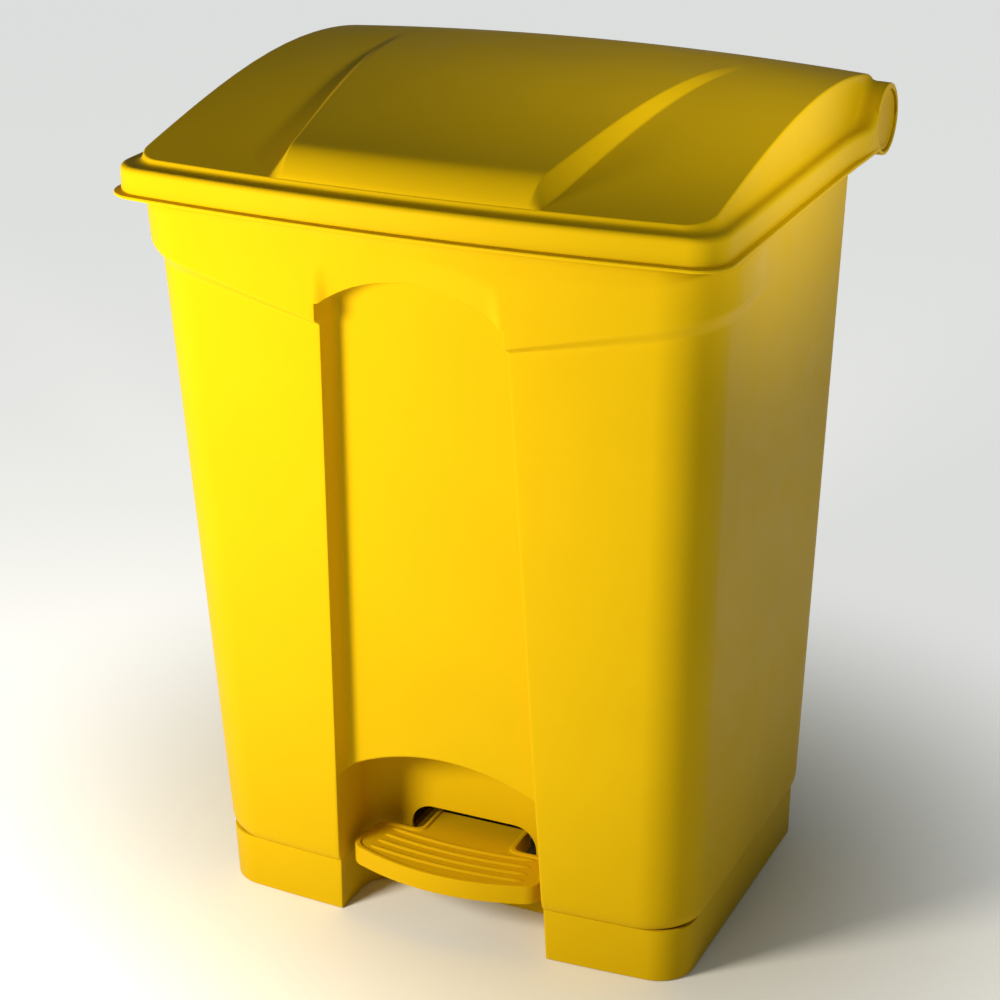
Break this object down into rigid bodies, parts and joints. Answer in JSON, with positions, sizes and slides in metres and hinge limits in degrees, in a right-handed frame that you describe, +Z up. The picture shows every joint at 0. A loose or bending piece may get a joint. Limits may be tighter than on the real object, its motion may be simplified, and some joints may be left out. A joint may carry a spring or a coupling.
{
  "type": "pedal bin",
  "caption": "Free-standing plastic pedal bin: tapered tub with arched front recess, domed lid on a rear barrel hinge, ribbed foot pedal in a niche, lid lifted by a lever and rod.",
  "frame": {"origin": "on the floor under the middle of the bin's bounding box", "axes": "+Z up, +X to the right seen from the front, +Y to the back; the front with the pedal faces -Y"},
  "size_m": [0.501, 0.425, 0.697],
  "materials": {
    "yellow_plastic": "smooth satin moulded polypropylene",
    "yellow_plastic_lid": "smooth satin moulded polypropylene",
    "yellow_plastic_trim": "smooth satin moulded polypropylene",
    "nylon": "natural moulded nylon",
    "zinc_steel": "bright zinc plate"
  },
  "bodies": {
    "root": {"body_shell": "yellow_plastic", "base_frame": "yellow_plastic", "hinge_bush_left": "nylon", "hinge_bush_right": "nylon", "axle_bush_left": "nylon", "axle_bush_right": "nylon", "channel_cover": "yellow_plastic_trim", "cover_screw_1": "zinc_steel", "cover_screw_2": "zinc_steel", "cover_screw_3": "zinc_steel", "cover_screw_4": "zinc_steel", "base_screw_1": "zinc_steel", "base_screw_2": "zinc_steel", "base_screw_3": "zinc_steel", "base_screw_4": "zinc_steel"},
    "lid": {"lid_shell": "yellow_plastic_lid", "hinge_cap_left": "yellow_plastic_trim", "hinge_cap_right": "yellow_plastic_trim", "hinge_rod": "zinc_steel"},
    "rod": {"lift_rod": "zinc_steel", "rod_clip_upper": "zinc_steel", "rod_clip_lower": "zinc_steel"},
    "pedal": {"pedal_tread": "yellow_plastic_trim", "pedal_lever": "zinc_steel", "pedal_axle": "zinc_steel", "axle_clip_left": "zinc_steel", "axle_clip_right": "zinc_steel", "tread_screw_left": "zinc_steel", "tread_screw_right": "zinc_steel"}
  },
  "joints": [
    {"name": "lid_hinge", "type": "hinge", "parent": "root", "child": "lid", "pos_m": [0, 0.1831, 0.6415], "axis": [-1, 0, 0], "range_deg": [0, 80]},
    {"name": "rod_pivot", "type": "hinge", "parent": "lid", "child": "rod", "pos_m": [0, 0.15246, 0.61579], "axis": [1, 0, 0], "range_deg": [0, 80.5]},
    {"name": "pedal_hinge", "type": "hinge", "parent": "root", "child": "pedal", "pos_m": [0, -0.02, 0.034], "axis": [1, 0, 0], "range_deg": [0, 18.6]}
  ],
  "couplings": [
    {"joint": "rod_pivot", "follows": "lid_hinge", "ratio": 1},
    {"joint": "pedal_hinge", "follows": "lid_hinge", "ratio": 0.23125}
  ]
}
